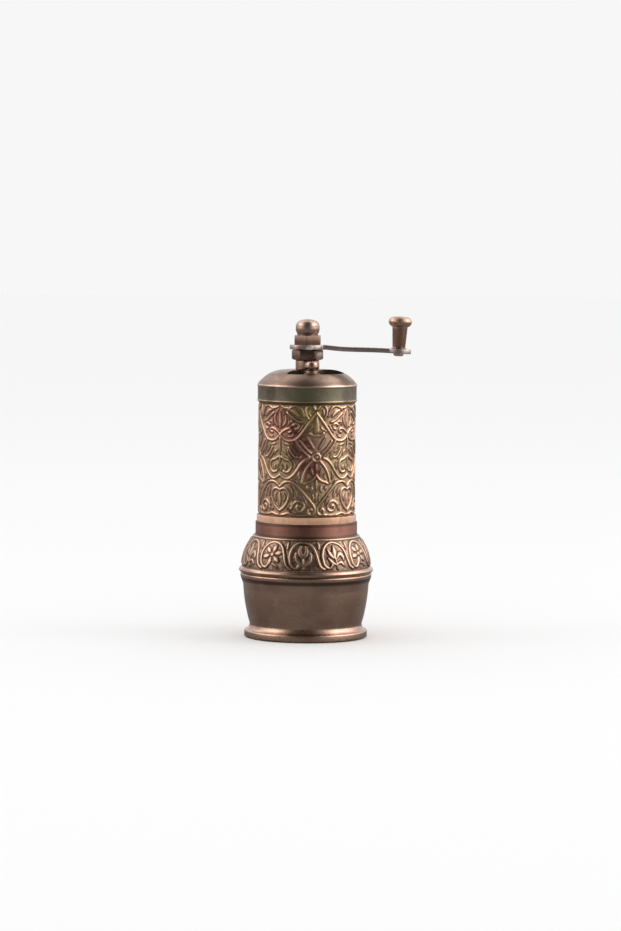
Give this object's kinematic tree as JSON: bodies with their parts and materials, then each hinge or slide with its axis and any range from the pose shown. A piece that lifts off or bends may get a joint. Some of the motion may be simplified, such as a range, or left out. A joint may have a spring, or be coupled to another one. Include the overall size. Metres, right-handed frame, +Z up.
{
  "type": "coffee grinder mill",
  "caption": "Small antique-finish brass hand coffee mill: bulged cup below, embossed barrel, domed lid with feed windows, and a top crank with a turned knob.",
  "frame": {"origin": "centre of the flat face that the cup stands on", "axes": "+Z up along the mill's axis, +X along the crank at rest, -Y towards the viewer of the picture"},
  "size_m": [0.0575, 0.0452, 0.1081],
  "materials": {
    "cup_brass": "cast, antique bronze patina, rubbed bright on the ridges",
    "barrel_brass": "embossed, copper and olive patina, rubbed bright on the ridges",
    "lid_brass": "satin, brown bronze patina",
    "crank_brass": "satin, grey bronze",
    "fitting_brass": "satin, antique copper brown",
    "knob_brass": "satin, antique copper brown",
    "inner_brass": "dull, dark",
    "steel": "turned",
    "burr_iron": "hardened, dark"
  },
  "bodies": {
    "base_cup": {"base_cup": "cup_brass"},
    "mill_body": {"barrel": "barrel_brass", "ring_burr": "burr_iron", "lower_bridge": "steel", "bridge_screws": "steel", "lock_nut": "steel", "hopper_plate": "inner_brass", "axle_bush": "fitting_brass"},
    "lid": {"lid": "lid_brass", "lid_knob": "lid_brass"},
    "thrust": {"thrust_ball": "steel"},
    "adjuster": {"adjust_screw": "steel"},
    "crank": {"axle": "steel", "inner_burr": "burr_iron", "burr_clip": "steel", "arm_nut": "fitting_brass", "crank_arm": "crank_brass", "cap_nut": "fitting_brass", "knob_washer": "fitting_brass", "knob_rivet": "fitting_brass"},
    "knob": {"knob": "knob_brass"}
  },
  "joints": [
    {"name": "lift_off", "type": "slide", "parent": "base_cup", "child": "mill_body", "axis": [0, 0, 1], "range_m": [0, 0.03]},
    {"name": "lid_turn", "type": "hinge", "parent": "mill_body", "child": "lid", "pos_m": [0, 0, 0.085], "axis": [0, 0, 1], "range_deg": [0, 180]},
    {"name": "grind_adjust", "type": "slide", "parent": "mill_body", "child": "thrust", "axis": [0, 0, 1], "range_m": [0, 0.0008]},
    {"name": "adjust_turn", "type": "hinge", "parent": "thrust", "child": "adjuster", "pos_m": [0, 0, 0.022], "axis": [0, 0, 1], "range_deg": [0, 360]},
    {"name": "crank_spin", "type": "hinge", "parent": "thrust", "child": "crank", "pos_m": [0, 0, 0.096], "axis": [0, 0, 1], "continuous": true},
    {"name": "knob_spin", "type": "hinge", "parent": "crank", "child": "knob", "pos_m": [0.0306, 0, 0.09716], "axis": [0.048, 0, 0.9988], "continuous": true}
  ],
  "couplings": [
    {"joint": "adjust_turn", "follows": "grind_adjust", "rad_per_m": 7854}
  ]
}
